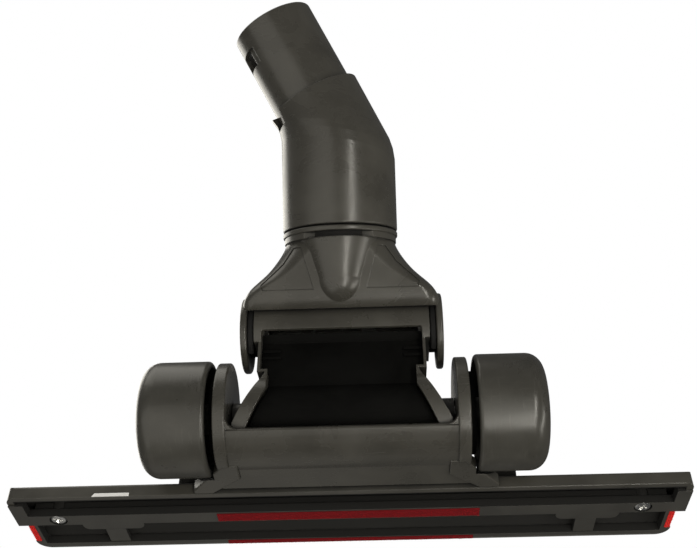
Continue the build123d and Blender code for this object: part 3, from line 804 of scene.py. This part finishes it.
def buildTab(setup):
    # seated on the wall, half its thickness let in
    low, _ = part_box("head_cover")
    foot, wall = low[2] + setup["foot"] * mm, low[1]
    start, end, height = setup["from"], setup["to"], setup["height"]
    proud = setup["proud"] * mm
    corners = [(start, 0.0), (end, 0.0), (end, height), (start + setup["slant"], height)]
    shape = bmesh.new()
    face = shape.faces.new([shape.verts.new((x * mm, wall + proud, foot + z * mm)) for x, z in corners])
    grown = bmesh.ops.extrude_face_region(shape, geom=[face])["geom"]
    moved = [item for item in grown if isinstance(item, bmesh.types.BMVert)]
    bmesh.ops.translate(shape, verts=moved, vec=(0.0, -2 * proud, 0.0))
    bmesh.ops.recalc_face_normals(shape, faces=shape.faces)
    rounding = setup["rounding"] * proud
    bmesh.ops.bevel(shape, geom=list(shape.edges), offset=rounding, segments=2, affect="EDGES")
    piece = newPiece("rear_wall_tab", shape)
    piece.data.materials.append(buildTabMaterial(setup))
    finishPiece(piece, "head", "shell")


buildTab(tabSetup)
print("tab set")

# black felt seal closing the gap between the hood's cheek and the trunk's upper barrel, millimetres
hoodSealSetup = {
    "inner": 9.8,
    "outer": 15.6,
    "from": 38.9,
    "to": 41.3,
    "spread": 125.0,  # degrees each way
    "steps": 40,
    "rounding": 0.3,
    "sharpFrom": 0.8,  # radians
}


def buildHoodSeal(name, side, setup):
    # an arc about the yoke's hinge, middle towards the neck
    centre = Vector(jointNamed("yoke_hinge")["pos_m"])
    up = Vector(jointNamed("neck_swivel")["axis"])
    ahead = up.cross(Vector((1.0, 0.0, 0.0)))
    ring = [("inner", "from"), ("outer", "from"), ("outer", "to"), ("inner", "to")]
    shape = bmesh.new()
    sections = []
    for step in range(setup["steps"] + 1):
        angle = radians(setup["spread"] * (2 * step / setup["steps"] - 1))
        outward = up * cos(angle) + ahead * sin(angle)
        section = []
        for radius, reach in ring:
            aside = Vector((side * setup[reach] * mm, 0.0, 0.0))
            section.append(shape.verts.new(centre + outward * setup[radius] * mm + aside))
        sections.append(section)
    for first, second in zip(sections, sections[1:]):
        for corner in range(len(ring)):
            shape.faces.new((first[corner - 1], first[corner], second[corner], second[corner - 1]))
    shape.faces.new(sections[0])
    shape.faces.new(sections[-1])
    bmesh.ops.recalc_face_normals(shape, faces=shape.faces)
    sharp = [edge for edge in shape.edges if edge.calc_face_angle() > setup["sharpFrom"]]
    bmesh.ops.bevel(shape, geom=sharp, offset=setup["rounding"] * mm, segments=2, affect="EDGES")
    piece = newPiece(name, shape)
    piece.data.materials.append(materials["blackSeal"])
    finishPiece(piece, "yoke", "seal")


for sideName, sideSign in (("left", -1.0), ("right", 1.0)):
    buildHoodSeal("hood_end_seal_" + sideName, sideSign, hoodSealSetup)
print("hood seals set")

# stage: pale floor seen only from above, white all round, less light from below than from above
stageSetup = {
    "floorSize": 6.0,
    "floorColour": (0.86, 0.86, 0.86),
    "floorRough": 0.9,
    "lampColour": (1.0, 0.965, 0.875),
    "skyLight": 0.46,
    "groundLight": 0.30,
    "shineShare": 0.2,  # how strongly the surround shows in the gloss
    "aim": (0.0, -0.06, 0.07),
    "lamps": {
        "keyLamp": {"place": (-0.75, -0.90, -0.86), "size": (1.9, 1.9), "power": 9.6},
        "streakLamp": {"place": (0.26, -0.56, -0.35), "size": (0.03, 0.7), "power": 2.7},
        "rimLamp": {"place": (0.78, -0.20, -0.36), "size": (0.06, 0.6), "power": 2.0},
        "topLamp": {"place": (-0.5, -0.4, 1.1), "size": (1.0, 1.0), "power": 5.0},
        "frontLamp": {"place": (-1.0, 0.9, 0.9), "size": (1.0, 1.0), "power": 9.0},
        "lowLamp": {"place": (-0.35, 0.85, -0.80), "size": (0.8, 0.8), "power": 0.5},
    },
}


def buildFloor(setup):
    half = setup["floorSize"] / 2
    mesh = bpy.data.meshes.new("studioFloor")
    corners = [(-half, -half, 0), (half, -half, 0), (half, half, 0), (-half, half, 0)]
    mesh.from_pydata(corners, [], [(0, 1, 2, 3)])
    floor = bpy.data.objects.new("studioFloor", mesh)
    scene.collection.objects.link(floor)
    material, tree, skin = newMaterial("studioFloor")
    setInputs(skin, Base_Color=rgba(setup["floorColour"]), Roughness=setup["floorRough"])
    below = addNode(tree, "ShaderNodeMixShader")
    link(tree, addNode(tree, "ShaderNodeNewGeometry").outputs["Backfacing"], below.inputs["Fac"])
    link(tree, skin.outputs["BSDF"], below.inputs[1])
    link(tree, addNode(tree, "ShaderNodeBsdfTransparent").outputs["BSDF"], below.inputs[2])
    output = next(node for node in tree.nodes if node.type == "OUTPUT_MATERIAL")
    link(tree, below.outputs["Shader"], output.inputs["Surface"])
    mesh.materials.append(material)
    for rayKind in ("diffuse", "glossy", "transmission", "shadow"):  # the camera alone sees the floor
        setattr(floor, "visible_" + rayKind, False)


def buildWorld(setup):
    world = bpy.data.worlds.new("whiteSurround")
    scene.world = world
    world.use_nodes = True
    tree = world.node_tree
    tree.nodes.clear()
    rays = addNode(tree, "ShaderNodeLightPath").outputs
    axes = splitAxes(tree, addNode(tree, "ShaderNodeTexCoord").outputs["Generated"])
    light = remap(tree, axes["Z"], -0.5, 0.5, setup["groundLight"], setup["skyLight"])
    share = remap(tree, rays["Is Glossy Ray"], 0.0, 1.0, 1.0, setup["shineShare"])
    dimmed = mathNode(tree, "MULTIPLY", light, share)
    seen = mathNode(tree, "MAXIMUM", rays["Is Camera Ray"], rays["Is Transmission Ray"])
    background = setInputs(addNode(tree, "ShaderNodeBackground"), Color=(1.0, 1.0, 1.0, 1.0))
    link(tree, mathNode(tree, "MAXIMUM", seen, dimmed), background.inputs["Strength"])
    link(tree, background.outputs["Background"], addNode(tree, "ShaderNodeOutputWorld").inputs["Surface"])


def buildLamps(setup):
    target = Vector(setup["aim"])
    for name, lamp in setup["lamps"].items():
        data = bpy.data.lights.new(name, "AREA")
        data.shape = "RECTANGLE"
        data.energy = lamp["power"]
        data.color = setup["lampColour"]
        data.size, data.size_y = lamp["size"]
        light = bpy.data.objects.new(name, data)
        light.location = lamp["place"]
        light.rotation_euler = (target - Vector(lamp["place"])).to_track_quat("-Z", "Y").to_euler()
        light.visible_camera = False
        scene.collection.objects.link(light)


buildFloor(stageSetup)
buildWorld(stageSetup)
buildLamps(stageSetup)
print("stage and light set")
